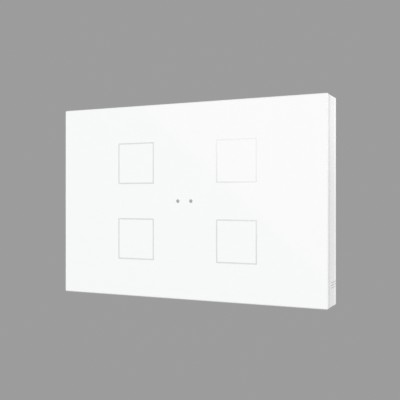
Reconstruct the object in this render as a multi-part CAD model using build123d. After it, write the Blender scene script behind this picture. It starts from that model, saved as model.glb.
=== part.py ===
import os

from build123d import *

# A four-key touch light switch on its steel wall plate. Every length is in millimetres.
# X runs to the right as seen from the room, Z runs up, and the wall is the plane Y = 0.
# Depths are counted from the wall towards the room, so a depth d lies at Y = -d.

# The panel as a whole
panel_width = 120.0
panel_overhang = 10.5    # from a box screw's middle to the top or bottom edge
cut_overrun = 1.0        # how far a cut runs past the wall that it goes through
seat_gap = 0.02          # radial play of a piece that is pushed in and stays there

# Front glass and the marks engraved and inked in its face
glass_thickness = 3.0
glass_corner = 0.6
glass_bevel = 0.3
key_size = 17.0          # to the middle of its outline
key_pitch_across = 46.2
key_pitch_up = 32.2
outline_width = 0.6
outline_corner = 0.4     # outside corner of the outline, which is sharp inside
window_pitch = 6.0
window_radius = 0.75
engraving_depth = 0.15

# Ink, tape and sensing pads behind the glass
mask_thickness = 0.1
mask_margin = 0.5
tape_thickness = 0.3
tape_inset = 0.35
tape_width = 4.2
electrode_thickness = 0.1
electrode_margin = 1.2

# Light guides and lamps behind the keys
guide_margin = 0.6
guide_bevel = 0.25
lamp_length = 1.6
lamp_width = 0.8
lamp_height = 0.6
lamp_gap = 0.2

# Hand sensor in the middle: emitter, receiver and the rubber boot round both
sensor_width = 2.0
sensor_height = 1.6
sensor_thickness = 0.75
sensor_dome_radius = 0.45
sensor_dome_height = 0.15
boot_gap = 0.15
boot_wall = 0.8
boot_channel_margin = 0.15

# Housing frame
frame_inset = 0.05       # how far the housing stays inside the glass
frame_corner = 0.7
shell_wall = 1.8
ledge_width = 5.0
ledge_thickness = 1.0
seam_bevel = 0.15

# Rear cover
cover_gap = 0.2          # from the wall plate to the cover's back
cover_wall = 1.2
component_room = 5.0     # from the cover to the board
wall_clearance = 0.3     # from the wall to the rim
parting_depth = 3.0      # where cover and frame meet
rear_rounding = 0.5
lip_height = 1.0
lip_thickness = 0.8
lip_gap = 0.15
post_radius = 1.6
post_place_shares = (0.34, 0.45)
pry_notch_width = 14.0
pry_notch_depth = 1.1

# Screw pillars and the screws that close the housing
pillar_radius = 2.6
pillar_inset = 2.2       # from the inside of the housing wall to the screw
screw_radius = 1.0
screw_length = 4.6
screw_head_radius = 1.8
screw_head_height = 1.2
screw_sink = 0.3         # head below the cover's back
screw_hole_gap = 0.15
screw_thread_gap = 0.02
screw_tip_room = 0.4
screw_cross_width = 0.45
screw_cross_depth = 0.7
screw_cross_share = 0.62

# Air slits low on the right side, and the board's temperature corner behind them
vent_count = 3
vent_pitch = 1.0
vent_width = 0.2
vent_rise = 8.4          # from the housing's lower edge to the middle of the slits
vent_front = 8.0         # depth where they end
baffle_wall = 0.8
baffle_margin = 3.2
probe_width = 1.6
probe_height = 1.6
probe_thickness = 0.7
probe_inset = 3.0
probe_rise = 3.0
relief_width = 0.8
relief_length = 7.0
relief_gap = 2.4

# Board
board_thickness = 1.2
board_gap = 0.3
notch_gap = 0.4

# Chips on the board: size across, size up, height, and place as shares of the board
controller_size = 7.0
controller_height = 1.0
lead_count = 8
lead_pitch = 0.75
lead_width = 0.3
lead_length = 0.9
lead_height = 0.4
controller_place_shares = (-0.30, 0.03)
touch_chip_size = 5.0
touch_chip_height = 0.9
touch_chip_place_shares = (0.28, 0.0)
transceiver_width = 6.0
transceiver_height = 5.0
transceiver_thickness = 0.9
transceiver_place_shares = (-0.27, 0.27)
coil_size = 4.2
coil_height = 2.6
coil_corner = 0.8
coil_core_radius = 1.5
coil_dish_depth = 0.2
coil_place_shares = (-0.26, -0.27)
capacitor_width = 3.5
capacitor_height = 2.8
capacitor_thickness = 1.9
capacitor_bevel = 0.3
capacitor_place_shares = ((0.24, 0.27), (0.29, 0.27))
crystal_width = 3.2
crystal_height = 2.5
crystal_thickness = 0.8
crystal_corner = 0.4
crystal_place_shares = (-0.30, -0.13)
suppressor_width = 4.4
suppressor_height = 2.6
suppressor_thickness = 2.2
suppressor_place_shares = (-0.14, 0.33)
regulator_width = 6.4
regulator_height = 3.4
regulator_thickness = 1.6
regulator_place_shares = (-0.14, -0.33)
small_part_length = 1.6
small_part_width = 0.8
decoupling_thickness = 0.8
decoupling_place_shares = (
    (-0.21, 0.11), (-0.21, -0.05), (0.22, 0.07), (0.22, -0.07), (-0.19, 0.22), (0.10, -0.33)
)
resistor_thickness = 0.45
resistor_pitch = 1.9
resistor_place_shares = (0.28, -0.13)
chip_bevel = 0.12

# Sockets behind the panel: bus wires on the left, four outside contacts on the right
socket_spread = 9.5
socket_drop = 11.0       # from the plate's opening to the middle of the sockets
socket_gap = 0.25
socket_wall = 1.0
socket_length = 4.2
socket_corner = 0.6
socket_lead = 0.3        # bevel at the mouth
pin_hole_gap = 0.3
bus_pin_radius = 0.5
bus_pin_pitch = 5.8
bus_pin_reach = 7.0      # behind the cover
bus_header_width = 9.0
bus_header_height = 4.0
bus_header_thickness = 2.4
input_count = 4
input_pitch = 2.5
input_pin_radius = 0.35
input_pin_reach = 5.0
input_header_height = 3.6
input_header_thickness = 2.4
pin_tip = 0.15
pin_play = 0.05          # a plug's contact slides on its pin

# Bus plug: two halves, each with four wire holes and one contact
bus_plug_width = 11.6
bus_plug_height = 10.2
bus_plug_depth = 11.3
plug_bevel = 0.4
wire_radius = 0.6
wire_flare = 0.3
bus_wire_depth = 7.0
bus_wire_pitch_across = 2.6
bus_wire_pitch_up = 5.2
contact_wall = 0.3
contact_room = 0.5
tongue_depth = 0.8
tongue_height = 3.6
tongue_gap = 0.05
test_slot_width = 0.8
test_slot_height = 2.0
test_slot_floor = 0.8    # left between the test slot and the contact

# Finger grooves in the sides of both plugs
grip_count = 3
grip_pitch = 1.2
grip_width = 0.5
grip_depth = 0.25
grip_inset = 1.4         # from the plug's rear face
grip_margin = 1.2        # left above and below a groove

# Input plug
input_plug_width = 12.4
input_plug_height = 7.0
input_plug_depth = 9.0
input_wire_depth = 4.5
input_wire_drop = 1.9
input_key_width = 3.0    # rib on top, so that the plug goes in one way only

# Programming button, its switch, and the status lamp
button_place = (-12.0, -12.0)
button_radius = 1.75
button_sink = 0.3
button_hole_gap = 0.25
button_flange_radius = 2.3
button_flange_thickness = 0.4
button_flange_gap = 0.1
button_engagement = 0.7
button_play = 0.05
button_travel = 0.25
button_dish = 0.2
switch_size = 6.0
switch_height = 3.0
switch_floor_room = 0.15
status_lamp_place = (-4.0, -12.0)
status_lamp_width = 1.6
status_lamp_height = 0.8
status_lamp_thickness = 0.7
pipe_radius = 1.2
pipe_flange_margin = 0.5
pipe_flange_thickness = 0.6
pipe_lamp_gap = 0.1
pipe_hole_gap = 0.05

# Magnets that hold the panel on the plate
magnet_radius = 4.0
magnet_thickness = 2.0
magnet_pocket_gap = 0.05
magnet_boss_wall = 1.0
magnet_floor = 0.8
magnet_inset_across = 8.0
magnet_inset_up = 12.0

# Wall plate: pressed steel sheet with a bent tab at each end
plate_thickness = 1.0
plate_margin_across = 8.0
plate_margin_up = 2.4
plate_corner = 4.0
box_screw_spacing = 60.0
box_slot_length = 7.0
box_slot_width = 4.2
wall_screw_offset = 10.0 # from a box screw's middle out to a wall screw
wall_screw_radius = 2.1
opening_margin_across = 7.0  # from a box screw's middle in to the opening
opening_margin_up = 8.0
opening_corner = 3.0
tab_width = 12.0
tab_reach = 3.6
tab_relief = 0.6
tab_lead = 0.3
bend_radius = 0.5
tab_slot_gap = 0.3

# Depths that follow from the thicknesses above
plate_front = plate_thickness
cover_back = plate_front + cover_gap
cover_inside = cover_back + cover_wall
board_back = cover_inside + component_room
board_front = board_back + board_thickness
frame_front = board_front + ledge_thickness
mask_back = frame_front + tape_thickness
glass_back = mask_back + mask_thickness
glass_front = glass_back + glass_thickness
electrode_back = mask_back - electrode_thickness
lip_front = parting_depth + lip_height

# Outlines that follow from the widths above
panel_height = box_screw_spacing + 2 * panel_overhang
frame_width = panel_width - 2 * frame_inset
frame_height = panel_height - 2 * frame_inset
pocket_width = frame_width - 2 * shell_wall
pocket_height = frame_height - 2 * shell_wall
board_width = pocket_width - 2 * board_gap
board_height = pocket_height - 2 * board_gap
notch_size = pillar_inset + pillar_radius + notch_gap
plate_width = pocket_width - 2 * plate_margin_across
plate_height = pocket_height - 2 * plate_margin_up
wall_screw_spacing = box_screw_spacing + 2 * wall_screw_offset
opening_width = box_screw_spacing - 2 * opening_margin_across
opening_height = box_screw_spacing - 2 * opening_margin_up
socket_rise = opening_height / 2 - socket_drop
vent_height = vent_rise - frame_height / 2
bus_place = (-socket_spread, socket_rise)
input_place = (socket_spread, socket_rise)
probe_place = (
    board_width / 2 - probe_inset,
    notch_size + probe_rise - pocket_height / 2,
)

sides = (-1, 1)
towards_room = Plane.XZ  # local X runs right, local Y runs up, and the normal faces the room


def block(outline, back, front):
    """The solid that an outline makes between two depths."""
    return extrude(towards_room.offset(back) * outline, front - back)


def at(place, outline):
    """An outline moved to a place on the panel, given as (across, up)."""
    return Pos(place[0], place[1]) * outline


def four(across, up):
    """Four places, mirrored left to right and top to bottom."""
    return [(side * across, level * up) for level in sides for side in sides]


def at_each(places, outline):
    """Copies of one outline at several places."""
    return Sketch() + [at(place, outline) for place in places]


def share_of_board(shares):
    """A place on the board, given as shares of its width and height."""
    return (shares[0] * board_width, shares[1] * board_height)


def row(place, count, pitch):
    """Places side by side, centred on a place."""
    first = place[0] - pitch * (count - 1) / 2
    return [(first + pitch * number, place[1]) for number in range(count)]


def ring(width, height, radius, wall):
    """An upright rectangular ring, by its outside size and corner."""
    inside = Rectangle(width - 2 * wall, height - 2 * wall)
    return RectangleRounded(width, height, radius) - inside


key_places = four(key_pitch_across / 2, key_pitch_up / 2)
window_places = row((0, 0), 2, window_pitch)
pillar_places = four(pocket_width / 2 - pillar_inset, pocket_height / 2 - pillar_inset)
corner_notches = at_each(
    four(pocket_width / 2, pocket_height / 2), Rectangle(2 * notch_size, 2 * notch_size)
)
magnet_places = four(
    plate_width / 2 - magnet_inset_across, plate_height / 2 - magnet_inset_up
)
bus_pin_places = row(bus_place, 2, bus_pin_pitch)
input_pin_places = row(input_place, input_count, input_pitch)


def key_outline_shape():
    """The line round each key: a square ring with its outside corners eased."""
    inner = key_size - outline_width
    outer = key_size + outline_width
    line = RectangleRounded(outer, outer, outline_corner) - Rectangle(inner, inner)
    return at_each(key_places, line)


def window_shape():
    """The two round sensor windows."""
    return at_each(window_places, Circle(window_radius))


def key_outlines():
    return block(key_outline_shape(), glass_front - engraving_depth, glass_front)


def sensor_windows():
    return block(window_shape(), glass_front - engraving_depth, glass_front)


def front_glass():
    """The glass, with ground bevels front and back, engraved for its marks."""
    sheet = block(
        RectangleRounded(panel_width, panel_height, glass_corner), glass_back, glass_front
    )
    faces = sheet.faces().sort_by(Axis.Y)
    sheet = chamfer(faces[0].edges() + faces[-1].edges(), glass_bevel)
    return sheet - key_outlines() - sensor_windows()


def printed_mask():
    """White ink on the back of the glass, left clear behind the outlines and windows."""
    sheet = Rectangle(panel_width - 2 * mask_margin, panel_height - 2 * mask_margin)
    return block(sheet - key_outline_shape() - window_shape(), mask_back, glass_back)


def glass_tape():
    """The foam tape between the glass and the frame's ledge."""
    width = frame_width - 2 * tape_inset
    height = frame_height - 2 * tape_inset
    return block(ring(width, height, frame_corner, tape_width), frame_front, mask_back)


def touch_electrodes():
    pad = key_size - outline_width - 2 * electrode_margin
    return block(at_each(key_places, Rectangle(pad, pad)), electrode_back, mask_back)


guide_size = key_size + outline_width + 2 * guide_margin
lamp_places = [
    (place[0] + side * (guide_size - lamp_width) / 2, place[1])
    for place in key_places
    for side in sides
]


def key_light_guides():
    """Clear plates on the board, notched left and right for their lamps."""
    plates = block(
        at_each(key_places, Rectangle(guide_size, guide_size)), board_front, electrode_back
    )
    plates = chamfer(plates.faces().group_by(Axis.Y)[0].edges(), guide_bevel)
    notch = Rectangle(lamp_width + 2 * lamp_gap, lamp_length + 2 * lamp_gap)
    return plates - block(
        at_each(lamp_places, notch), board_front - cut_overrun, electrode_back + cut_overrun
    )


def key_leds():
    lamp = Rectangle(lamp_width, lamp_length)
    return block(at_each(lamp_places, lamp), board_front, board_front + lamp_height)


def infrared_part(place):
    """A small sensor package with its round lens."""
    top = board_front + sensor_thickness
    package = block(at(place, Rectangle(sensor_width, sensor_height)), board_front, top)
    lens = block(at(place, Circle(sensor_dome_radius)), top, top + sensor_dome_height)
    return package + lens


def sensor_boot():
    """A rubber block with one chamber and one light channel for each sensor."""
    wall = boot_gap + boot_wall
    body = Rectangle(window_pitch + sensor_width + 2 * wall, sensor_height + 2 * wall)
    chamber = Rectangle(sensor_width + 2 * boot_gap, sensor_height + 2 * boot_gap)
    ceiling = board_front + sensor_thickness + boot_gap
    channel = Circle(window_radius + boot_channel_margin)
    boot = block(body, board_front, mask_back)
    boot -= block(at_each(window_places, chamber), board_front - cut_overrun, ceiling)
    return boot - block(at_each(window_places, channel), board_front, mask_back + cut_overrun)


def pin_holes(places, radius, back, front):
    """Round holes through a wall, for pins with a given gap."""
    return block(at_each(places, Circle(radius)), back - cut_overrun, front + cut_overrun)


def sensor_board():
    """The circuit board, cut away for the screw pillars and the temperature corner."""
    outline = Rectangle(board_width, board_height) - corner_notches
    relief = Rectangle(relief_width, relief_length)
    outline -= at((probe_place[0] - relief_gap, probe_place[1]), relief)
    board = block(outline, board_back, board_front)
    board -= pin_holes(bus_pin_places, bus_pin_radius + seat_gap, board_back, board_front)
    return board - pin_holes(
        input_pin_places, input_pin_radius + seat_gap, board_back, board_front
    )


def chip(place, width, height, thickness, bevel=chip_bevel):
    """A flat package under the board, with its rear edges broken."""
    body = block(at(place, Rectangle(width, height)), board_back - thickness, board_back)
    return chamfer(body.faces().sort_by(Axis.Y)[-1].edges(), bevel)


def microcontroller():
    """The main chip, with a row of leads on each of its four sides."""
    centre = share_of_board(controller_place_shares)
    body = chip(centre, controller_size, controller_size, controller_height)
    reach = (controller_size + lead_length) / 2
    across = at_each(row((0, 0), lead_count, lead_pitch), Rectangle(lead_width, lead_length))
    leads = Sketch()
    for turn in range(4):
        leads += Rot(0, 0, turn * 90) * Pos(0, reach) * across
    return body + block(at(centre, leads), board_back - lead_height, board_back)


def touch_controller():
    centre = share_of_board(touch_chip_place_shares)
    return chip(centre, touch_chip_size, touch_chip_size, touch_chip_height)


def bus_transceiver():
    centre = share_of_board(transceiver_place_shares)
    return chip(centre, transceiver_width, transceiver_height, transceiver_thickness)


def power_inductor():
    """A shielded coil with a round dish in its rear face."""
    centre = share_of_board(coil_place_shares)
    case = RectangleRounded(coil_size, coil_size, coil_corner)
    rear = board_back - coil_height
    coil = block(at(centre, case), rear, board_back)
    return coil - block(
        at(centre, Circle(coil_core_radius)), rear - cut_overrun, rear + coil_dish_depth
    )


def storage_capacitors():
    parts = Part()
    for shares in capacitor_place_shares:
        place = share_of_board(shares)
        parts += chip(
            place, capacitor_width, capacitor_height, capacitor_thickness, capacitor_bevel
        )
    return parts


def surge_suppressor():
    centre = share_of_board(suppressor_place_shares)
    return chip(
        centre, suppressor_width, suppressor_height, suppressor_thickness, capacitor_bevel
    )


def supply_regulator():
    """The supply chip, with three leads below and its broad cooling tab above."""
    centre = share_of_board(regulator_place_shares)
    body = chip(centre, regulator_width, regulator_height, regulator_thickness)
    reach = (regulator_height + lead_length) / 2
    pitch = regulator_width / 3
    leads = at_each(row((0, -reach), 3, pitch), Rectangle(lead_width, lead_length))
    leads += at((0, reach), Rectangle(regulator_width / 2, lead_length))
    return body + block(at(centre, leads), board_back - lead_height, board_back)


def decoupling_capacitors():
    parts = Part()
    for shares in decoupling_place_shares:
        place = share_of_board(shares)
        parts += chip(place, small_part_length, small_part_width, decoupling_thickness)
    return parts


def touch_resistors():
    """One resistor for each key, side by side near the touch chip."""
    parts = Part()
    for place in row(share_of_board(resistor_place_shares), len(key_places), resistor_pitch):
        parts += chip(place, small_part_width, small_part_length, resistor_thickness)
    return parts


def clock_crystal():
    centre = share_of_board(crystal_place_shares)
    can = RectangleRounded(crystal_width, crystal_height, crystal_corner)
    return block(at(centre, can), board_back - crystal_thickness, board_back)


def temperature_probe():
    return chip(probe_place, probe_width, probe_height, probe_thickness)


def pins(places, radius, reach):
    """Round pins from the board's front face out behind the cover, with bevelled tips."""
    rods = block(at_each(places, Circle(radius)), cover_back - reach, board_front)
    return chamfer(rods.faces().group_by(Axis.Y)[-1].edges(), pin_tip)


def header(place, width, height, thickness, places, radius):
    """The plastic base that holds a row of pins on the board."""
    rear = board_back - thickness
    base = block(at(place, Rectangle(width, height)), rear, board_back)
    base = chamfer(base.faces().sort_by(Axis.Y)[-1].edges(), chip_bevel)
    return base - pin_holes(places, radius + seat_gap, rear, board_back)


def bus_header():
    return header(
        bus_place, bus_header_width, bus_header_height, bus_header_thickness,
        bus_pin_places, bus_pin_radius,
    )


def input_header():
    return header(
        input_place, input_pitch * input_count, input_header_height, input_header_thickness,
        input_pin_places, input_pin_radius,
    )


switch_rear = board_back - switch_height
button_tip = switch_rear + button_engagement


def programming_switch():
    """The switch body on the board, with the bore that the button works in."""
    body = chip(button_place, switch_size, switch_size, switch_height)
    bore_floor = button_tip + button_travel + switch_floor_room
    bore = at(button_place, Circle(button_radius + button_play))
    return body - block(bore, switch_rear - cut_overrun, bore_floor)


def programming_button():
    """The plunger, with a flange that the cover keeps in and a dished end."""
    rear = cover_back + button_sink
    flange_rear = cover_inside + button_flange_gap
    button = block(at(button_place, Circle(button_radius)), rear, button_tip)
    button += block(
        at(button_place, Circle(button_flange_radius)),
        flange_rear,
        flange_rear + button_flange_thickness,
    )
    dish = at(button_place, Circle(button_radius / 2))
    return button - block(dish, rear - cut_overrun, rear + button_dish)


status_lamp_rear = board_back - status_lamp_thickness


def programming_led():
    lamp = at(status_lamp_place, Rectangle(status_lamp_width, status_lamp_height))
    return block(lamp, status_lamp_rear, board_back)


def status_light_pipe():
    """A clear rod from the lamp to the cover's back, resting on its flange."""
    rod = block(
        at(status_lamp_place, Circle(pipe_radius)), cover_back, status_lamp_rear - pipe_lamp_gap
    )
    return rod + block(
        at(status_lamp_place, Circle(pipe_radius + pipe_flange_margin)),
        cover_inside,
        cover_inside + pipe_flange_thickness,
    )


def vent_slits(front):
    """Narrow cuts through the right side wall, open at the wall side."""
    depth = 2 * (shell_wall + lip_gap + lip_thickness)
    slits = Sketch()
    for number in range(vent_count):
        up = vent_height + vent_pitch * (number - (vent_count - 1) / 2)
        slits += at((frame_width / 2, up), Rectangle(depth, vent_width))
    return block(slits, wall_clearance - cut_overrun, front)


def housing_frame():
    """The front shell: side walls, the ledge that carries the glass, and screw bosses."""
    outside = RectangleRounded(frame_width, frame_height, frame_corner)
    shell = block(outside, parting_depth, frame_front)
    seam = shell.faces().sort_by(Axis.Y)[-1].edges()
    shell = chamfer(seam, seam_bevel)
    pocket = Rectangle(pocket_width, pocket_height)
    window = Rectangle(pocket_width - 2 * ledge_width, pocket_height - 2 * ledge_width)
    shell -= block(pocket, parting_depth - cut_overrun, board_front)
    shell -= block(window, board_front - cut_overrun, frame_front + cut_overrun)
    bosses = at_each(pillar_places, Circle(pillar_radius))
    shell += block(bosses & pocket, lip_front, board_front)
    tip = cover_back + screw_sink + screw_head_height + screw_length + screw_tip_room
    thread = at_each(pillar_places, Circle(screw_radius + screw_thread_gap))
    shell -= block(thread, lip_front - cut_overrun, tip)
    return shell - vent_slits(vent_front)


def plug_socket(place, width, height):
    """The collar that guides a plug behind the cover, with a bevelled mouth."""
    inner_width = width + 2 * socket_gap
    inner_height = height + 2 * socket_gap
    outer = RectangleRounded(
        inner_width + 2 * socket_wall, inner_height + 2 * socket_wall, socket_corner + socket_wall
    )
    collar = outer - Rectangle(inner_width, inner_height)
    collar = block(at(place, collar), cover_back - socket_length, cover_back)
    mouth = collar.faces().sort_by(Axis.Y)[-1].inner_wires()[0]
    return chamfer(mouth.edges(), socket_lead)


def input_key(gap):
    """The rib on top of the input plug, as high as the socket's gap and wall."""
    height = socket_gap + socket_wall
    rib = Rectangle(input_key_width + 2 * gap, height + gap)
    up = input_place[1] + input_plug_height / 2 + (height + gap) / 2
    rear = cover_back - input_plug_depth + 2 * plug_bevel
    return block(at((input_place[0], up), rib), rear - gap, cover_back)


def probe_baffle():
    """Two thin walls that close off the corner round the temperature probe."""
    reach_across = pocket_width / 2 - probe_place[0] + baffle_margin
    reach_up = probe_place[1] + pocket_height / 2 + baffle_margin
    corner = (pocket_width / 2, -pocket_height / 2)
    walls = Rectangle(2 * reach_across, 2 * reach_up) - Rectangle(
        2 * (reach_across - baffle_wall), 2 * (reach_up - baffle_wall)
    )
    inside = Rectangle(pocket_width, pocket_height)
    return block(at(corner, walls) & inside, cover_inside, board_back)


def rear_cover():
    """The moulded back: rim, floor, sockets, magnet cups, pillars, posts and slits."""
    outside = RectangleRounded(frame_width, frame_height, frame_corner)
    shell = block(outside, wall_clearance, parting_depth)
    faces = shell.faces().sort_by(Axis.Y)
    shell = chamfer(faces[0].edges(), seam_bevel)
    shell = fillet(shell.faces().sort_by(Axis.Y)[-1].edges(), rear_rounding)
    pocket = Rectangle(pocket_width, pocket_height)
    shell -= block(pocket, wall_clearance - cut_overrun, parting_depth + cut_overrun)
    shell += block(pocket, cover_back, cover_inside)

    # the lip that centres the cover in the frame, and the pillars beside it
    reach = Rectangle(pocket_width - 2 * lip_gap, pocket_height - 2 * lip_gap)
    hollow = Rectangle(
        pocket_width - 2 * (lip_gap + lip_thickness), pocket_height - 2 * (lip_gap + lip_thickness)
    )
    pillars = at_each(pillar_places, Circle(pillar_radius))
    shell += block(pocket - hollow + pillars, cover_back, parting_depth)
    shell += block((reach - hollow - corner_notches) + (pillars & reach), cover_back, lip_front)

    # posts, magnet cups, sockets and the baffle stand on the floor
    post_places = four(
        post_place_shares[0] * board_width, post_place_shares[1] * board_height
    )
    shell += block(at_each(post_places, Circle(post_radius)), cover_inside, board_back)
    magnet_front = plate_front + magnet_thickness
    cup_radius = magnet_radius + magnet_pocket_gap + magnet_boss_wall
    shell += block(
        at_each(magnet_places, Circle(cup_radius)), cover_back, magnet_front + magnet_floor
    )
    shell += plug_socket(bus_place, bus_plug_width, bus_plug_height)
    shell += plug_socket(input_place, input_plug_width, input_plug_height)
    shell -= input_key(socket_gap)
    shell += probe_baffle()

    # what is cut into it
    shell -= block(
        at_each(magnet_places, Circle(magnet_radius + magnet_pocket_gap)),
        cover_back - cut_overrun,
        magnet_front,
    )
    seat = cover_back + screw_sink + screw_head_height
    head_hole = Circle(screw_head_radius + screw_hole_gap)
    shank_hole = Circle(screw_radius + screw_hole_gap)
    shell -= block(at_each(pillar_places, head_hole), cover_back - cut_overrun, seat)
    shell -= block(at_each(pillar_places, shank_hole), seat - cut_overrun, lip_front + cut_overrun)
    shell -= pin_holes(bus_pin_places, bus_pin_radius + pin_hole_gap, cover_back, cover_inside)
    shell -= pin_holes(
        input_pin_places, input_pin_radius + pin_hole_gap, cover_back, cover_inside
    )
    shell -= pin_holes([button_place], button_radius + button_hole_gap, cover_back, cover_inside)
    shell -= pin_holes([status_lamp_place], pipe_radius + pipe_hole_gap, cover_back, cover_inside)
    slot_width = plate_thickness + bend_radius + 2 * tab_slot_gap
    slot = Rectangle(slot_width, tab_width + 2 * tab_slot_gap)
    slot_across = plate_width / 2 + tab_slot_gap - slot_width / 2
    shell -= block(
        at_each([(side * slot_across, 0) for side in sides], slot),
        cover_back - cut_overrun,
        cover_inside + cut_overrun,
    )
    notch = at(
        (0, (shell_wall - frame_height) / 2), Rectangle(pry_notch_width, shell_wall + cut_overrun)
    )
    shell -= block(notch, wall_clearance - cut_overrun, wall_clearance + pry_notch_depth)
    return shell - vent_slits(lip_front + cut_overrun)


def cover_screws():
    """Four pan-head screws, driven from the back."""
    head_rear = cover_back + screw_sink
    seat = head_rear + screw_head_height
    screws = block(at_each(pillar_places, Circle(screw_head_radius)), head_rear, seat)
    screws += block(at_each(pillar_places, Circle(screw_radius)), seat, seat + screw_length)
    arm = 2 * screw_head_radius * screw_cross_share
    cross = Rectangle(arm, screw_cross_width) + Rectangle(screw_cross_width, arm)
    return screws - block(
        at_each(pillar_places, cross), head_rear - cut_overrun, head_rear + screw_cross_depth
    )


def holding_magnets():
    discs = at_each(magnet_places, Circle(magnet_radius))
    return block(discs, plate_front, plate_front + magnet_thickness)


def plug_body(place, width, height, depth):
    """A plug's block behind the cover, with its rear edges bevelled."""
    body = block(at(place, Rectangle(width, height)), cover_back - depth, cover_back)
    return chamfer(body.faces().sort_by(Axis.Y)[-1].edges(), plug_bevel)


def wire_entries(places, rear, depth):
    """Round wire holes from a plug's rear face, flared at the mouth."""
    holes = block(at_each(places, Circle(wire_radius)), rear - cut_overrun, rear + depth)
    for place in places:
        mouth = Plane(
            origin=(place[0], -rear, place[1]), x_dir=(1, 0, 0), z_dir=(0, -1, 0)
        )
        holes += mouth * Pos(0, 0, wire_flare / 2) * Cone(
            wire_radius + wire_flare, wire_radius, wire_flare
        )
    return holes


def grip_grooves(place, width, height, depth):
    """Shallow upright grooves in a plug's left and right sides."""
    edges = [(place[0] + side * width / 2, place[1]) for side in sides]
    groove = Rectangle(2 * grip_depth, height - 2 * grip_margin)
    first = cover_back - depth + grip_inset
    grooves = Part()
    for number in range(grip_count):
        back = first + number * grip_pitch
        grooves += block(at_each(edges, groove), back, back + grip_width)
    return grooves


def contact_radius(pin_radius):
    return pin_radius + pin_play + contact_wall


def contact_bores(places, pin_radius, reach):
    """The bores that hold a plug's contacts, open at its front face."""
    bore = Circle(contact_radius(pin_radius) + seat_gap)
    return block(at_each(places, bore), cover_back - reach - contact_room, cover_back + cut_overrun)


def contacts(places, pin_radius, reach):
    """Sleeves that slide on the pins."""
    sleeve = Circle(contact_radius(pin_radius)) - Circle(pin_radius + pin_play)
    return block(at_each(places, sleeve), cover_back - reach - contact_room, cover_back)


def bus_plug_rib(gap):
    """The rib that locks the left half of the bus plug in the right one."""
    rear = cover_back - bus_plug_depth + 2 * plug_bevel
    depth = tongue_depth + gap
    rib = Rectangle(depth, tongue_height + 2 * gap)
    return block(at((bus_place[0] + depth / 2, bus_place[1]), rib), rear - gap, cover_back)


def bus_plug_half(side):
    """One half of the bus plug, to the left or right of its middle."""
    half_width = bus_plug_width / 2
    centre = (bus_place[0] + side * half_width / 2, bus_place[1])
    rear = cover_back - bus_plug_depth
    wires = [
        (centre[0] + place[0], centre[1] + place[1])
        for place in four(bus_wire_pitch_across / 2, bus_wire_pitch_up / 2)
    ]
    pin = (bus_place[0] + side * bus_pin_pitch / 2, bus_place[1])
    half = plug_body(centre, half_width, bus_plug_height, bus_plug_depth)
    half -= wire_entries(wires, rear, bus_wire_depth)
    slot = at(pin, Rectangle(test_slot_width, test_slot_height))
    slot_end = cover_back - bus_pin_reach - contact_room - test_slot_floor
    half -= block(slot, rear - cut_overrun, slot_end)
    half -= grip_grooves(bus_place, bus_plug_width, bus_plug_height, bus_plug_depth)
    return half - contact_bores([pin], bus_pin_radius, bus_pin_reach)


def bus_plug_positive():
    """The left half, with the rib on its inner side."""
    return bus_plug_half(-1) + bus_plug_rib(0)


def bus_plug_negative():
    """The right half, with the groove that takes the rib."""
    return bus_plug_half(1) - bus_plug_rib(tongue_gap)


def bus_plug_contacts():
    return contacts(bus_pin_places, bus_pin_radius, bus_pin_reach)


def input_plug():
    """The plug for four outside contacts."""
    rear = cover_back - input_plug_depth
    body = plug_body(input_place, input_plug_width, input_plug_height, input_plug_depth)
    wires = [(place[0], place[1] - input_wire_drop) for place in input_pin_places]
    body -= wire_entries(wires, rear, input_wire_depth)
    body -= grip_grooves(input_place, input_plug_width, input_plug_height, input_plug_depth)
    body -= contact_bores(input_pin_places, input_pin_radius, input_pin_reach)
    return body + input_key(0)


def input_plug_contacts():
    return contacts(input_pin_places, input_pin_radius, input_pin_reach)


def plate_tab():
    """The right-hand tab: the sheet bent through a right angle towards the room."""
    bend_centre = plate_width / 2 - plate_thickness - bend_radius
    bend_depth = plate_thickness + bend_radius
    outer = bend_radius + plate_thickness
    arc = Circle(outer) - Circle(bend_radius)
    quarter = arc & Pos(outer, outer) * Rectangle(2 * outer, 2 * outer)
    profile = Pos(bend_centre, -bend_depth) * quarter
    length = tab_reach - bend_depth
    profile += Pos(bend_centre + bend_radius + plate_thickness / 2, -bend_depth - length / 2) * (
        Rectangle(plate_thickness, length)
    )
    tab = extrude(Plane.XY.offset(-tab_width / 2) * profile, tab_width)
    tips = tab.faces().sort_by(Axis.Y)[0].edges().filter_by(Axis.Z)
    return chamfer(tips, tab_lead)


def wall_plate():
    """The pressed steel plate that is screwed to the wall box."""
    sheet = RectangleRounded(plate_width, plate_height, plate_corner)
    sheet -= RectangleRounded(opening_width, opening_height, opening_corner)
    reach = box_screw_spacing / 2
    across = SlotOverall(box_slot_length, box_slot_width)
    upright = SlotOverall(box_slot_length, box_slot_width, rotation=90)
    sheet -= at_each([(side * reach, 0) for side in sides], across)
    sheet -= at_each([(0, side * reach) for side in sides], upright)
    wall_screws = [(side * wall_screw_spacing / 2, 0) for side in sides]
    sheet -= at_each(wall_screws, Circle(wall_screw_radius))
    bend = plate_thickness + bend_radius
    window = Rectangle(2 * bend, tab_width + 2 * tab_relief)
    sheet -= at_each([(side * plate_width / 2, 0) for side in sides], window)
    plate = block(sheet, 0, plate_front)
    tab = plate_tab()
    return plate + tab + mirror(tab, about=Plane.YZ)


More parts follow.
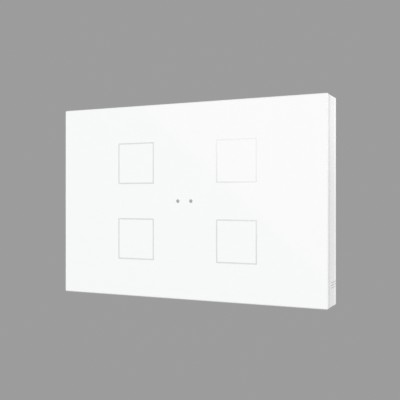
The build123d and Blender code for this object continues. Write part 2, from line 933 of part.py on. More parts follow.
nodes = {
    "front_glass": front_glass,
    "key_outlines": key_outlines,
    "sensor_windows": sensor_windows,
    "printed_mask": printed_mask,
    "glass_tape": glass_tape,
    "touch_electrodes": touch_electrodes,
    "key_light_guides": key_light_guides,
    "key_leds": key_leds,
    "infrared_emitter": lambda: infrared_part(window_places[0]),
    "infrared_receiver": lambda: infrared_part(window_places[1]),
    "sensor_boot": sensor_boot,
    "sensor_board": sensor_board,
    "microcontroller": microcontroller,
    "touch_controller": touch_controller,
    "bus_transceiver": bus_transceiver,
    "power_inductor": power_inductor,
    "storage_capacitors": storage_capacitors,
    "clock_crystal": clock_crystal,
    "surge_suppressor": surge_suppressor,
    "supply_regulator": supply_regulator,
    "decoupling_capacitors": decoupling_capacitors,
    "touch_resistors": touch_resistors,
    "temperature_probe": temperature_probe,
    "bus_header": bus_header,
    "bus_pins": lambda: pins(bus_pin_places, bus_pin_radius, bus_pin_reach),
    "input_header": input_header,
    "input_pins": lambda: pins(input_pin_places, input_pin_radius, input_pin_reach),
    "programming_switch": programming_switch,
    "programming_button": programming_button,
    "programming_led": programming_led,
    "status_light_pipe": status_light_pipe,
    "housing_frame": housing_frame,
    "rear_cover": rear_cover,
    "cover_screws": cover_screws,
    "holding_magnets": holding_magnets,
    "bus_plug_positive": bus_plug_positive,
    "bus_plug_negative": bus_plug_negative,
    "bus_plug_contacts": bus_plug_contacts,
    "input_plug": input_plug,
    "input_plug_contacts": input_plug_contacts,
    "wall_plate": wall_plate,
}

os.makedirs("parts", exist_ok=True)
for name, make in nodes.items():
    export_step(make(), f"parts/{name}.step")
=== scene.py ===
import math

import bmesh
import bpy
from mathutils import Matrix, Vector


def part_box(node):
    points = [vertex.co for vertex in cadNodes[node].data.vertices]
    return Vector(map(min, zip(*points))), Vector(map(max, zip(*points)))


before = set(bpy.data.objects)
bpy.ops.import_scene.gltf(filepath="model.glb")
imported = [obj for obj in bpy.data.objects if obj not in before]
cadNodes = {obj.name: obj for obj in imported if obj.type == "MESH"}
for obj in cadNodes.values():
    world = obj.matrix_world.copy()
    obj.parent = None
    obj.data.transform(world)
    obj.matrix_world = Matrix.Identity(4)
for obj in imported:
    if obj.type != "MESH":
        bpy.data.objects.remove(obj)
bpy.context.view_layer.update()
mm = 0.001  # the frame is in metres, sizes here are in millimetres
scene = bpy.context.scene
scene.view_settings.view_transform = "Standard"


def metres(place):
    return Vector(place) * mm


def middleAndHalf(low, high):
    # the middle of a box and half its size, in millimetres
    return (low + high) / 2 / mm, (high - low) / 2 / mm


def lighter(colour, share):
    return tuple(min(1.0, part * share) for part in colour)


def linkObject(name, data):
    made = bpy.data.objects.new(name, data)
    scene.collection.objects.link(made)
    return made


def meshObject(name, shape):
    # turns a finished bmesh into an object of its own
    mesh = bpy.data.meshes.new(name)
    shape.to_mesh(mesh)
    shape.free()
    return linkObject(name, mesh)


# camera
cameraSetup = {
    "lens": 59.88,  # on a 36 mm sensor
    "place": (123.47, -257.48, 0.47),
    "turn": 25.44,  # degrees to the left of straight at the wall
    "near": 5.0,
    "far": 20000.0,
}


def makeCamera(setup):
    data = bpy.data.cameras.new("photoCamera")
    data.lens = setup["lens"]
    data.clip_start = setup["near"] * mm
    data.clip_end = setup["far"] * mm
    camera = linkObject("photoCamera", data)
    camera.location = metres(setup["place"])
    camera.rotation_euler = (math.pi / 2, 0, math.radians(setup["turn"]))
    scene.camera = camera


makeCamera(cameraSetup)
print("camera placed")


# shader sums
class Value:
    # a socket that can be used in sums: each sum adds its Math node
    def __init__(self, owner, socket):
        self.owner = owner
        self.socket = socket

    def sum(self, operation, first, second=0.0):
        return self.owner.node("ShaderNodeMath", {"operation": operation}, {0: first, 1: second})

    def __add__(self, other):
        return self.sum("ADD", self, other)

    def __radd__(self, other):
        return self.sum("ADD", other, self)

    def __sub__(self, other):
        return self.sum("SUBTRACT", self, other)

    def __rsub__(self, other):
        return self.sum("SUBTRACT", other, self)

    def __mul__(self, other):
        return self.sum("MULTIPLY", self, other)

    def __rmul__(self, other):
        return self.sum("MULTIPLY", other, self)

    def __abs__(self):
        return self.sum("ABSOLUTE", self)

    def least(self, other):
        return self.sum("MINIMUM", self, other)

    def most(self, other):
        return self.sum("MAXIMUM", self, other)

    def root(self):
        return self.sum("SQRT", self)

    def fold(self, span):
        # runs up to span and back down again, over and over
        return self.sum("PINGPONG", self, span)

    def sibling(self, output):
        # another output of the same node
        return Value(self.owner, self.socket.node.outputs[output])


mixSockets = {"factor": 0, "first": 6, "second": 7, "result": 2}  # of a Mix node set to colours


class NodeTree:
    # a node tree, and the one way in which nodes are added to it
    def __init__(self, tree):
        self.tree = tree

    def node(self, kind, settings=None, inputs=None, output=0):
        made = self.tree.nodes.new(kind)
        for key, value in (settings or {}).items():
            setattr(made, key, value)
        for key, value in (inputs or {}).items():
            self.feed(made.inputs[key], value)
        return Value(self, made.outputs[output])

    def feed(self, socket, value):
        if isinstance(value, Value):
            self.tree.links.new(value.socket, socket)
        elif isinstance(value, tuple) and socket.type == "RGBA":
            socket.default_value = (*value, 1.0)
        else:
            socket.default_value = value

    def mix(self, factor, first, second):
        # the first colour where factor is 0, the second where it is 1
        colours = {mixSockets["first"]: first, mixSockets["second"]: second}
        return self.node(
            "ShaderNodeMix",
            {"data_type": "RGBA"},
            {mixSockets["factor"]: factor, **colours},
            output=mixSockets["result"],
        )


class Finish(NodeTree):
    # one procedural material: a Principled shader and the nodes that feed it
    def __init__(self, name, fixed):
        self.material = bpy.data.materials.new(name)
        self.material.use_nodes = True
        super().__init__(self.material.node_tree)
        self.shader = self.tree.nodes["Principled BSDF"]
        self.place = None
        for socketName, value in fixed.items():
            self.set(socketName, value)

    def set(self, socketName, value):
        self.feed(self.shader.inputs[socketName], value)

    def millimetres(self):
        # the place on the piece, as a vector in millimetres
        if self.place is None:
            where = self.node("ShaderNodeTexCoord", output="Object")
            self.place = self.node(
                "ShaderNodeVectorMath", {"operation": "SCALE"}, {"Vector": where, "Scale": 1 / mm}
            )
        return self.place

    def axes(self, wanted):
        # the place on the piece along each of the wanted axes, such as "XZ"
        split = self.node("ShaderNodeSeparateXYZ", inputs={0: self.millimetres()})
        return [split.sibling(axis) for axis in wanted]

    def noise(self, size, detail=2.0, stretch=None):
        # noise whose blobs are about size millimetres, drawn out along the axes by stretch
        where = self.millimetres()
        if stretch:
            where = self.node(
                "ShaderNodeMapping",
                inputs={"Vector": where, "Scale": tuple(1 / part for part in stretch)},
            )
        return self.node(
            "ShaderNodeTexNoise", inputs={"Vector": where, "Scale": 1 / size, "Detail": detail}
        )

    def cells(self, size, output="Distance"):
        # cells about size millimetres wide: the distance to their middles, or a colour for each
        return self.node(
            "ShaderNodeTexVoronoi",
            inputs={"Vector": self.millimetres(), "Scale": 1 / size},
            output=output,
        )

    def grey(self, colour):
        return self.node("ShaderNodeRGBToBW", inputs={0: colour})

    def stripes(self, value, pitch, width, blur=0.05):
        # 1 on lines that repeat along value, 0 between them
        return self.smooth(value.fold(pitch / 2), (width + blur) / 2, (width - blur) / 2)

    def smooth(self, value, start, end):
        # 0 at start, 1 at end, eased between
        return self.node(
            "ShaderNodeMapRange",
            {"interpolation_type": "SMOOTHSTEP"},
            {"Value": value, "From Min": start, "From Max": end},
        )

    def shade(self, factor, colour, shares):
        # one colour, from the first share of it to the second
        return self.mix(factor, lighter(colour, shares[0]), lighter(colour, shares[1]))

    def bump(self, height, depth):
        # raises the surface by height times depth millimetres
        return self.node(
            "ShaderNodeBump", inputs={"Height": height, "Distance": depth * mm, "Strength": 1.0}
        )


def dress(finish, *names):
    for name in names:
        slots = cadNodes[name].data.materials
        slots.clear()
        slots.append(finish.material)


# room: a grey seen background, soft light and a pale floor
roomSetup = {
    "seenGrey": (0.333, 0.333, 0.333),
    "light": (0.805, 0.805, 0.805),  # with the lamps, a colour renders about as it is written
    "floorColour": (0.72, 0.72, 0.72),
    "floorRough": 0.9,
    "floorGloss": 0.1,
    "floorDrop": 350.0,
    "floorRadius": 800.0,
    "floorSides": 96,
}
lampSetup = {
    "frontLamp": {
        "place": (600.0, -3600.0, 1680.0),
        "aim": (0.0, 0.0, 0.0),
        "size": 2160.0,
        "watts": 49.0,
    },
    "sideLamp": {
        "place": (560.0, 60.0, 120.0),
        "aim": (60.0, -6.0, 0.0),
        "size": 200.0,
        "watts": 0.49,
    },
    "cornerLamp": {  # close to the top right corner, where the side is brightest
        "place": (87.0, -6.0, 35.0),
        "aim": (60.0, -6.0, 35.0),
        "size": 24.0,
        "watts": 0.0016,
    },
}
cardSetup = {
    "distance": 1200.0,  # in front of the wall
    "size": 2600.0,
    "glow": (0.84, 0.84, 0.84),
    "edgeStart": (-16.7, 37.6),  # where its edge shows in the glass, across and up
    "edgeEnd": (59.4, -28.6),
    "softness": 1.5,  # width of that edge in the glass
}


def makeWorld(setup):
    world = bpy.data.worlds.new("studioWorld")
    world.use_nodes = True
    scene.world = world
    studio = NodeTree(world.node_tree)
    cameraRay = studio.node("ShaderNodeLightPath", output="Is Camera Ray")
    seen = cameraRay.most(cameraRay.sibling("Is Glossy Ray"))
    seen = seen.most(cameraRay.sibling("Is Transmission Ray"))
    colour = studio.mix(seen, setup["light"], setup["seenGrey"])
    studio.feed(studio.tree.nodes["Background"].inputs["Color"], colour)


def makeFloor(setup):
    shape = bmesh.new()
    bmesh.ops.create_circle(
        shape, cap_ends=True, segments=setup["floorSides"], radius=setup["floorRadius"] * mm
    )
    bmesh.ops.translate(shape, verts=shape.verts, vec=(0, 0, -setup["floorDrop"] * mm))
    floor = meshObject("studioFloor", shape)
    finish = Finish("floorPaint", {
        "Base Color": setup["floorColour"],
        "Roughness": setup["floorRough"],
        "Specular IOR Level": setup["floorGloss"],
    })
    floor.data.materials.append(finish.material)


def makeLamp(name, setup):
    data = bpy.data.lights.new(name, "AREA")
    data.shape = "SQUARE"
    data.size = setup["size"] * mm
    data.energy = setup["watts"]
    lamp = linkObject(name, data)
    lamp.location = metres(setup["place"])
    lamp.rotation_euler = (lamp.location - metres(setup["aim"])).to_track_quat("Z", "Y").to_euler()
    lamp.visible_camera = False
    lamp.visible_glossy = False


def makeCard(setup, glassFront, eye):
    # a glowing card that only reflections see, whose soft edge runs across the glass
    mirroredEye = Vector((eye.x, 2 * glassFront - eye.y, eye.z))
    cardDepth = -setup["distance"] * mm
    reach = (cardDepth - mirroredEye.y) / (glassFront - mirroredEye.y)

    def onCard(place):
        # where the card shows at this place of the glass
        point = Vector((place[0] * mm, glassFront, place[1] * mm))
        return mirroredEye + (point - mirroredEye) * reach

    start = onCard(setup["edgeStart"])
    along = (onCard(setup["edgeEnd"]) - start).normalized()
    above = Vector((-along.z, 0, along.x))
    shape = bmesh.new()
    bmesh.ops.create_grid(
        shape, x_segments=1, y_segments=1, size=setup["size"] / 2 * mm,
        matrix=Matrix.Rotation(math.pi / 2, 4, "X"),
    )
    bmesh.ops.translate(shape, verts=shape.verts, vec=(start.x, cardDepth, start.z))
    card = meshObject("studioCard", shape)
    finish = Finish("cardGlow", {"Base Color": (0, 0, 0), "Emission Strength": 1.0})
    x, z = finish.axes("XZ")
    height = (x - start.x / mm) * above.x + (z - start.z / mm) * above.z
    half = setup["softness"] * reach / 2
    lit = finish.smooth(height, -half, half)
    finish.set("Emission Color", finish.mix(lit, roomSetup["seenGrey"], setup["glow"]))
    card.data.materials.append(finish.material)
    card.visible_camera = False
    card.visible_diffuse = False
    card.visible_shadow = False
    card.visible_transmission = False


glassLow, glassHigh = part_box("front_glass")
makeWorld(roomSetup)
makeFloor(roomSetup)
for lampName, lampValues in lampSetup.items():
    makeLamp(lampName, lampValues)
makeCard(cardSetup, glassLow.y, scene.camera.location)
print("room and lamps made")


# In the looks below, sizes are in millimetres and shades are shares of a colour. rough is the
# smoothest spot of a finish, and what a pattern adds to it has that pattern's name before Rough.

# front glass: white right through, with ground edges that show a little green
glassLook = {
    "ior": 1.52,
    "gloss": 0.42,  # 0.5 is plain glass: this front is coated against glare
    "glossTint": (1.0, 0.24, 0.62),  # what such a coating still reflects
    "front": (0.9235, 0.9475, 0.9365),
    "rough": 0.02,
    "cloud": {"size": 18.0, "detail": 3.0},
    "cloudShades": (0.997, 1.003),
    "smear": {"size": 9.0, "detail": 4.0, "stretch": (1.6, 1.0, 1.0)},
    "smearRough": 0.02,
    "edge": (0.805, 0.832, 0.820),
    "edgeWidth": 0.55,  # how far the edge tint reaches in from the rim
    "edgeRough": 0.3,
    "grind": {"size": 0.5, "stretch": (40.0, 0.12, 40.0)},
    "grindDepth": 0.01,
}


def glassFinish(look):
    finish = Finish("whiteGlass", {
        "IOR": look["ior"], "Specular IOR Level": look["gloss"], "Specular Tint": look["glossTint"],
    })
    x, z = finish.axes("XZ")
    rim = ((glassHigh.x / mm) - abs(x)).least((glassHigh.z / mm) - abs(z))
    edge = finish.smooth(rim, look["edgeWidth"], 0.0)
    cloud = finish.noise(**look["cloud"])
    front = finish.shade(cloud, look["front"], look["cloudShades"])
    finish.set("Base Color", finish.mix(edge, front, look["edge"]))
    smear = finish.noise(**look["smear"])
    finish.set("Roughness", smear * look["smearRough"] + edge * look["edgeRough"] + look["rough"])
    grind = finish.noise(**look["grind"]) * edge
    finish.set("Normal", finish.bump(grind, look["grindDepth"]))
    return finish


# key outlines: silver grey ink, and sensor windows: smoked infrared ink
inkLooks = {
    "outlineInk": {
        "ior": 1.5,
        "colour": (0.933, 0.941, 0.938),
        "metal": 0.37,  # its metal flakes fade where the glass reflects something bright
        "rough": 0.12,
        "grain": 0.12,
        "grainShades": (0.96, 1.04),
        "grainRough": 0.08,
    },
    "windowInk": {
        "ior": 1.5,
        "colour": (0.40, 0.40, 0.405),
        "metal": 0.0,
        "rough": 0.08,
        "grain": 0.3,
        "grainShades": (0.93, 1.07),
        "grainRough": 0.04,
    },
}


def inkFinish(name, look):
    finish = Finish(name, {"IOR": look["ior"], "Metallic": look["metal"]})
    grain = finish.noise(look["grain"])
    finish.set("Base Color", finish.shade(grain, look["colour"], look["grainShades"]))
    finish.set("Roughness", grain * look["grainRough"] + look["rough"])
    return finish


dress(glassFinish(glassLook), "front_glass")
dress(inkFinish("outlineInk", inkLooks["outlineInk"]), "key_outlines")
dress(inkFinish("windowInk", inkLooks["windowInk"]), "sensor_windows")
print("glass finished")


# moulded plastics: a fine spark-eroded grain and faint clouds
plasticLooks = {
    "frameWhite": {"colour": (0.87, 0.87, 0.865), "rough": 0.36, "grain": 0.16, "depth": 0.010},
    # the rear cover has the frame's white plastic set lighter: painted light for the bright band along
    # its rear edge
    "coverWhitePaintedLight": {"colour": (0.94, 0.94, 0.935), "rough": 0.36, "grain": 0.16, "depth": 0.010},
    "plugRed": {"colour": (0.40, 0.03, 0.03), "rough": 0.28, "grain": 0.3, "depth": 0.006},
    "plugGrey": {"colour": (0.06, 0.06, 0.065), "rough": 0.28, "grain": 0.3, "depth": 0.006},
    "plugPale": {"colour": (0.62, 0.64, 0.62), "rough": 0.28, "grain": 0.3, "depth": 0.006},
    "buttonGrey": {"colour": (0.50, 0.50, 0.50), "rough": 0.3, "grain": 0.12, "depth": 0.005},
    "headerBlack": {"colour": (0.03, 0.03, 0.03), "rough": 0.35, "grain": 0.2, "depth": 0.006},
    "switchBlack": {"colour": (0.04, 0.04, 0.04), "rough": 0.25, "grain": 0.2, "depth": 0.004},
}
allPlastics = {
    "ior": 1.49,
    "cloud": {"size": 7.0, "detail": 3.0},
    "cloudShades": (0.985, 1.015),
    "cloudRough": 0.06,
    "grainShade": 0.94,
    "grainShare": 0.5,  # how much of that shade the grain takes on
    "grainRough": 0.14,
}


def plasticFinish(name, look, shared):
    finish = Finish(name, {"IOR": shared["ior"]})
    cloud = finish.noise(**shared["cloud"])
    grain = finish.noise(look["grain"])
    tone = finish.shade(cloud, look["colour"], shared["cloudShades"])
    darker = lighter(look["colour"], shared["grainShade"])
    finish.set("Base Color", finish.mix(grain * shared["grainShare"], tone, darker))
    finish.set(
        "Roughness", grain * shared["grainRough"] + cloud * shared["cloudRough"] + look["rough"]
    )
    finish.set("Normal", finish.bump(grain, look["depth"]))
    return finish


plastics = {name: plasticFinish(name, look, allPlastics) for name, look in plasticLooks.items()}
dress(plastics["frameWhite"], "housing_frame")
dress(plastics["coverWhitePaintedLight"], "rear_cover")
dress(plastics["plugRed"], "bus_plug_positive")
dress(plastics["plugGrey"], "bus_plug_negative")
dress(plastics["plugPale"], "input_plug")
dress(plastics["buttonGrey"], "programming_button")
dress(plastics["headerBlack"], "bus_header", "input_header")
dress(plastics["switchBlack"], "programming_switch")
print("plastics finished")


# metals: fine scratches one way and cloudy tarnish
metalLooks = {
    "zincScrew": {"colour": (0.82, 0.83, 0.85), "rough": 0.14, "cloud": 0.8, "tarnish": 0.80},
    "nickel": {"colour": (0.74, 0.71, 0.66), "rough": 0.0, "cloud": 2.5, "tarnish": 0.92},
    "tin": {"colour": (0.78, 0.77, 0.75), "rough": 0.11, "cloud": 0.6, "tarnish": 0.86},
    "brass": {"colour": (0.80, 0.63, 0.33), "rough": 0.09, "cloud": 0.7, "tarnish": 0.84},
    "crystalCan": {"colour": (0.70, 0.69, 0.66), "rough": 0.07, "cloud": 0.9, "tarnish": 0.90},
    "padCopper": {"colour": (0.86, 0.52, 0.36), "rough": 0.20, "cloud": 3.0, "tarnish": 0.80},
}
allMetals = {
    "cloudDetail": 4.0,
    "cloudRough": 0.14,
    "scratch": {"size": 0.09, "detail": 3.0, "stretch": (14.0, 1.0, 1.0)},
    "scratchRough": 0.12,
    "scratchDepth": 0.002,
}


def metalFinish(name, look, shared):
    finish = Finish(name, {"Metallic": 1.0})
    cloud = finish.noise(look["cloud"], shared["cloudDetail"])
    scratch = finish.noise(**shared["scratch"])
    finish.set("Base Color", finish.shade(cloud, look["colour"], (1.0, look["tarnish"])))
    finish.set(
        "Roughness", scratch * shared["scratchRough"] + cloud * shared["cloudRough"] + look["rough"]
    )
    finish.set("Normal", finish.bump(scratch, shared["scratchDepth"]))
    return finish


metals = {name: metalFinish(name, look, allMetals) for name, look in metalLooks.items()}
dress(metals["zincScrew"], "cover_screws")
dress(metals["nickel"], "holding_magnets")
dress(metals["tin"], "bus_pins", "input_pins")
dress(metals["brass"], "bus_plug_contacts", "input_plug_contacts")
dress(metals["crystalCan"], "clock_crystal")
dress(metals["padCopper"], "touch_electrodes")


# wall plate: zinc on pressed sheet, brighter where the punch cut through
plateLook = {
    "thickness": 1.0,  # its back lies on the wall, and that is where Y is 0
    "zinc": (0.86, 0.87, 0.89),
    "dull": (0.60, 0.61, 0.635),
    "rough": 0.18,
    "spangle": 3.2,
    "spangleShare": 0.55,  # of the way from dull to zinc, the cloud's share being the rest
    "spangleRough": 0.10,
    "cloud": {"size": 12.0, "detail": 4.0},
    "cloudShare": 0.45,
    "scratch": {"size": 0.25, "detail": 3.0, "stretch": (30.0, 1.0, 1.0)},
    "scratchRough": 0.14,
    "scratchHeight": 0.3,
    "cut": (0.90, 0.91, 0.92),
    "cutRim": 0.06,  # how far the bright cut stays off both faces
    "cutRough": 0.06,
    "shear": {"size": 0.3, "stretch": (1.0, 12.0, 1.0)},
    "depth": 0.012,
}


def plateFinish(look):
    finish = Finish("zincPlate", {"Metallic": 1.0})
    y = finish.axes("Y")[0]
    half = look["thickness"] / 2
    cut = finish.smooth(abs(y + half), half, half - look["cutRim"])
    spangle = finish.grey(finish.cells(look["spangle"], "Color"))
    cloud = finish.noise(**look["cloud"])
    scratch = finish.noise(**look["scratch"])
    shear = finish.noise(**look["shear"])
    shine = spangle * look["spangleShare"] + cloud * look["cloudShare"]
    zinc = finish.mix(shine, look["dull"], look["zinc"])
    finish.set("Base Color", finish.mix(cut, zinc, look["cut"]))
    worn = spangle * look["spangleRough"] + scratch * look["scratchRough"]
    finish.set("Roughness", worn + cut * look["cutRough"] + look["rough"])
    finish.set("Normal", finish.bump(scratch * look["scratchHeight"] + cut * shear, look["depth"]))
    return finish


dress(plateFinish(plateLook), "wall_plate")
print("metals finished")


# rubber boot and foam tape
softLooks = {
    "bootRubber": {"colour": (0.022, 0.022, 0.024), "rough": 0.56, "pores": 0.25, "depth": 0.01},
    "foamTape": {"colour": (0.42, 0.42, 0.42), "rough": 0.79, "pores": 0.35, "depth": 0.05},
}
allSoft = {
    "ior": 1.45,
    "dust": {"size": 4.0, "detail": 4.0},
    "dustShades": (1.0, 1.5),
    "dustRough": 0.12,
}


def softFinish(name, look, shared):
    finish = Finish(name, {"IOR": shared["ior"]})
    dust = finish.noise(**shared["dust"])
    finish.set("Base Color", finish.shade(dust, look["colour"], shared["dustShades"]))
    finish.set("Roughness", dust * shared["dustRough"] + look["rough"])
    finish.set("Normal", finish.bump(finish.cells(look["pores"]), look["depth"]))
    return finish


dress(softFinish("bootRubber", softLooks["bootRubber"], allSoft), "sensor_boot")
dress(softFinish("foamTape", softLooks["foamTape"], allSoft), "glass_tape")


# white ink on the back of the glass, with the mark of the printing mesh
maskLook = {
    "ior": 1.45,
    "ink": (0.86, 0.87, 0.865),
    "thin": (0.80, 0.81, 0.805),
    "rough": 0.55,
    "cloud": {"size": 10.0, "detail": 3.0},
    "cloudShare": 0.5,  # how far the ink thins there
    "cloudRough": 0.1,
    "meshPitch": 0.22,
    "meshThread": 0.06,
    "meshShare": 0.1,
    "meshDepth": 0.004,
}


def maskFinish(look):
    finish = Finish("backInk", {"IOR": look["ior"]})
    x, z = finish.axes("XZ")
    mesh = finish.stripes(x, look["meshPitch"], look["meshThread"])
    mesh = mesh + finish.stripes(z, look["meshPitch"], look["meshThread"])
    cloud = finish.noise(**look["cloud"])
    thin = cloud * look["cloudShare"] + mesh * look["meshShare"]
    finish.set("Base Color", finish.mix(thin, look["ink"], look["thin"]))
    finish.set("Roughness", cloud * look["cloudRough"] + look["rough"])
    finish.set("Normal", finish.bump(mesh, look["meshDepth"]))
    return finish


dress(maskFinish(maskLook), "printed_mask")


# clear plastics: moulded acrylic with faint flow marks
clearLooks = {
    "guideAcrylic": {"tint": (0.97, 0.98, 0.98), "flow": 5.0},
    "pipeAcrylic": {"tint": (0.95, 0.96, 0.96), "flow": 1.2},
}
allClear = {
    "ior": 1.49,
    "rough": 0.02,
    "flowDetail": 3.0,
    "flowShades": (1.0, 0.96),
    "flowRough": 0.10,
    "flowDepth": 0.01,
}


def clearFinish(name, look, shared):
    finish = Finish(name, {"IOR": shared["ior"], "Transmission Weight": 1.0})
    flow = finish.noise(look["flow"], shared["flowDetail"])
    finish.set("Base Color", finish.shade(flow, look["tint"], shared["flowShades"]))
    finish.set("Roughness", flow * shared["flowRough"] + shared["rough"])
    finish.set("Normal", finish.bump(flow, shared["flowDepth"]))
    return finish


dress(clearFinish("guideAcrylic", clearLooks["guideAcrylic"], allClear), "key_light_guides")
dress(clearFinish("pipeAcrylic", clearLooks["pipeAcrylic"], allClear), "status_light_pipe")
print("soft and clear plastics finished")


# circuit board: green lacquer over copper tracks, tinned vias, pale cut edges
boardLook = {
    "ior": 1.5,
    "lacquer": (0.012, 0.085, 0.045),
    "overTrack": (0.030, 0.17, 0.085),
    "rough": 0.22,
    "depth": 0.03,
    "trackPitch": 1.1,
    "trackWidth": 0.38,
    "trackHeight": 0.7,  # heights are shares of the depth
    "upright": {"size": 13.0, "detail": 0.0},  # fields of tracks that run up, the rest run across
    "uprightRim": (0.49, 0.51),
    "routed": {"size": 9.0, "detail": 1.0},  # fields that have tracks at all
    "routedRim": (0.47, 0.49),
    "via": (0.62, 0.60, 0.52),
    "viaSpread": 5.0,
    "viaRim": (0.077, 0.07),  # shares of that spread
    "viaHeight": 0.5,
    "weave": {"size": 0.4, "detail": 1.0, "stretch": (4.0, 1.0, 1.0)},
    "weaveRough": 0.08,
    "weaveHeight": 0.1,
    "fibre": (0.52, 0.50, 0.34),
    "fibreRim": 0.05,  # how far the cut fibre stays off both faces
    "fibreRough": 0.45,
}


def boardFinish(look):
    finish = Finish("circuitBoard", {"IOR": look["ior"]})
    x, y, z = finish.axes("XYZ")
    middle, half = middleAndHalf(*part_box("sensor_board"))
    side = finish.smooth(abs(y - middle.y), half.y, half.y - look["fibreRim"])
    upright = finish.smooth(finish.noise(**look["upright"]), *look["uprightRim"])
    routed = finish.smooth(finish.noise(**look["routed"]), *look["routedRim"])
    lines = finish.stripes(x, look["trackPitch"], look["trackWidth"]) * upright
    lines = lines + finish.stripes(z, look["trackPitch"], look["trackWidth"]) * (1.0 - upright)
    track = lines * routed
    via = finish.smooth(finish.cells(look["viaSpread"]), *look["viaRim"])
    weave = finish.noise(**look["weave"])
    face = finish.mix(track, look["lacquer"], look["overTrack"])
    face = finish.mix(via, face, look["via"])
    finish.set("Base Color", finish.mix(side, face, look["fibre"]))
    finish.set("Metallic", via * (1.0 - side))
    finish.set("Roughness", weave * look["weaveRough"] + side * look["fibreRough"] + look["rough"])
    height = track * look["trackHeight"] + via * look["viaHeight"] + weave * look["weaveHeight"]
    finish.set("Normal", finish.bump(height, look["depth"]))
    return finish


dress(boardFinish(boardLook), "sensor_board")


# chips: black epoxy with a pin-one dimple, and tinned leads where the node has them
chipLook = {
    "ior": 1.55,
    "epoxy": (0.028, 0.028, 0.029),
    "rough": 0.42,
    "grain": 0.15,
    "grainShades": (1.0, 1.4),
    "grainRough": 0.12,
    "grainHeight": 0.15,
    "dimplePlace": 0.68,  # from the middle to a corner of the body
    "dimpleRim": (0.14, 0.10),  # shares of half the chip's width
    "dimplePolish": 0.2,
    "dimpleDepth": 0.05,
    "lead": (0.74, 0.73, 0.70),
    "leadRim": 0.02,
}
chipLeads = {  # how far the leads stand out of the body, across and up
    "microcontroller": (0.9, 0.9),
    "touch_controller": (0.0, 0.0),
    "bus_transceiver": (0.0, 0.0),
    "surge_suppressor": (0.0, 0.0),
    "supply_regulator": (0.0, 0.9),
    "temperature_probe": (0.0, 0.0),
    "infrared_emitter": (0.0, 0.0),
    "infrared_receiver": (0.0, 0.0),
}


def chipFinish(name, leads, look):
    finish = Finish(name + "Epoxy", {"IOR": look["ior"]})
    x, z = finish.axes("XZ")
    middle, half = middleAndHalf(*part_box(name))
    across, up = x - middle.x, z - middle.z
    bodyAcross, bodyUp = half.x - leads[0], half.z - leads[1]
    lead = 0.0
    if any(leads):
        beyond = (abs(across) - bodyAcross).most(abs(up) - bodyUp)
        lead = finish.smooth(beyond, 0.0, look["leadRim"])
    dotAcross = across + bodyAcross * look["dimplePlace"]
    dotUp = up - bodyUp * look["dimplePlace"]
    away = (dotAcross * dotAcross + dotUp * dotUp).root()
    dimple = finish.smooth(away, *(half.x * share for share in look["dimpleRim"]))
    grain = finish.noise(look["grain"])
    epoxy = finish.shade(grain, look["epoxy"], look["grainShades"])
    finish.set("Base Color", finish.mix(lead, epoxy, look["lead"]))
    finish.set("Metallic", lead)
    finish.set("Roughness", grain * look["grainRough"] - dimple * look["dimplePolish"] + look["rough"])
    finish.set("Normal", finish.bump(grain * look["grainHeight"] - dimple, look["dimpleDepth"]))
    return finish


for chipName, leads in chipLeads.items():
    dress(chipFinish(chipName, leads, chipLook), chipName)


# small two-ended parts: a body between tinned ends
def partMiddles(name, weld=0.001):
    # the middle of each separate solid of a node, in millimetres, in the same order each run
    shape = bmesh.new()
    shape.from_mesh(cadNodes[name].data)
    bmesh.ops.remove_doubles(shape, verts=shape.verts, dist=weld * mm)
    left = set(shape.verts)
    middles = []
    while left:
        found = {left.pop()}
        edge = set(found)
        while edge:
            edge = {link.other_vert(vert) for vert in edge for link in vert.link_edges} - found
            found |= edge
        left -= found
        places = [vert.co for vert in found]
        middles.append(tuple(
            (min(place[axis] for place in places) + max(place[axis] for place in places)) / 2 / mm
            for axis in range(3)
        ))
    shape.free()
    return sorted(middles)


endedParts = {  # half is half a part's length and half its width
    "storage_capacitors": {
        "body": (0.36, 0.22, 0.11), "half": (1.75, 1.4), "upright": False, "end": 0.55,
    },
    "decoupling_capacitors": {
        "body": (0.42, 0.28, 0.15), "half": (0.8, 0.4), "upright": False, "end": 0.3,
    },
    "touch_resistors": {
        "body": (0.025, 0.025, 0.027), "half": (0.8, 0.4), "upright": True, "end": 0.3,
    },
    "key_leds": {
        "body": (0.85, 0.76, 0.40), "half": (0.8, 0.4), "upright": True, "end": 0.28,
    },
    "programming_led": {
        "body": (0.80, 0.82, 0.80), "half": (0.8, 0.4), "upright": False, "end": 0.28,
    },
}
allEnded = {
    "ior": 1.52,
    "tin": (0.72, 0.71, 0.69),
    "tinRim": 0.02,
    "rough": 0.26,
    "grain": {"size": 0.2, "detail": 3.0},
    "grainShades": (0.85, 1.15),
    "grainRough": 0.12,
    "grainDepth": 0.006,
    "sideShare": 0.9,  # keeps a part's long sides just short of counting as an end
}


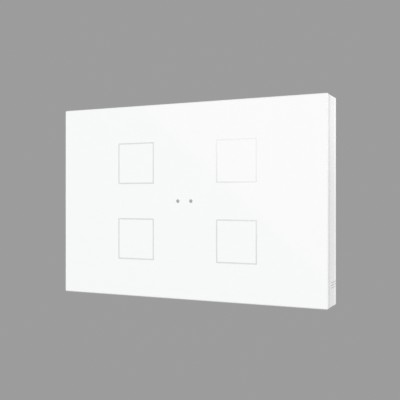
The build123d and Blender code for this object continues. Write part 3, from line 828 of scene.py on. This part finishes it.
def endedFinish(name, part, shared):
    finish = Finish(name + "Finish", {"IOR": shared["ior"]})
    x, z = finish.axes("XZ")
    halfLength, halfWidth = part["half"]
    start = halfLength - part["end"]
    squeeze = shared["sideShare"] * start / halfWidth
    nearest = None
    for middle in partMiddles(name):
        across, up = abs(x - middle[0]), abs(z - middle[2])
        along, beside = (up, across) if part["upright"] else (across, up)
        far = along.most(beside * squeeze)
        nearest = far if nearest is None else nearest.least(far)
    tinned = finish.smooth(nearest, start - shared["tinRim"], start + shared["tinRim"])
    grain = finish.noise(**shared["grain"])
    body = finish.shade(grain, part["body"], shared["grainShades"])
    finish.set("Base Color", finish.mix(tinned, body, shared["tin"]))
    finish.set("Metallic", tinned)
    finish.set("Roughness", grain * shared["grainRough"] + shared["rough"])
    finish.set("Normal", finish.bump(grain, shared["grainDepth"]))
    return finish


for partName, partValues in endedParts.items():
    dress(endedFinish(partName, partValues, allEnded), partName)


# shielded coil: dull ferrite, with the winding's varnish in its dish
coilLook = {
    "ior": 1.6,
    "ferrite": (0.085, 0.085, 0.088),
    "ferriteRough": 0.35,
    "varnish": (0.16, 0.075, 0.03),
    "rough": 0.2,
    "dishRim": (1.5, 1.4),  # radii between which the dish begins
    "speck": {"size": 0.18, "detail": 3.0},
    "speckShades": (1.0, 1.5),
    "speckRough": 0.15,
    "speckDepth": 0.015,
}


def coilFinish(look):
    finish = Finish("coilFerrite", {"IOR": look["ior"]})
    x, z = finish.axes("XZ")
    middle = middleAndHalf(*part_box("power_inductor"))[0]
    across, up = x - middle.x, z - middle.z
    squared = across * across + up * up
    dish = finish.smooth(squared, *(radius ** 2 for radius in look["dishRim"]))
    speck = finish.noise(**look["speck"])
    ferrite = finish.shade(speck, look["ferrite"], look["speckShades"])
    finish.set("Base Color", finish.mix(dish, ferrite, look["varnish"]))
    dull = speck * look["speckRough"] + (1.0 - dish) * look["ferriteRough"]
    finish.set("Roughness", dull + look["rough"])
    finish.set("Normal", finish.bump(speck, look["speckDepth"]))
    return finish


dress(coilFinish(coilLook), "power_inductor")
print("board parts finished")
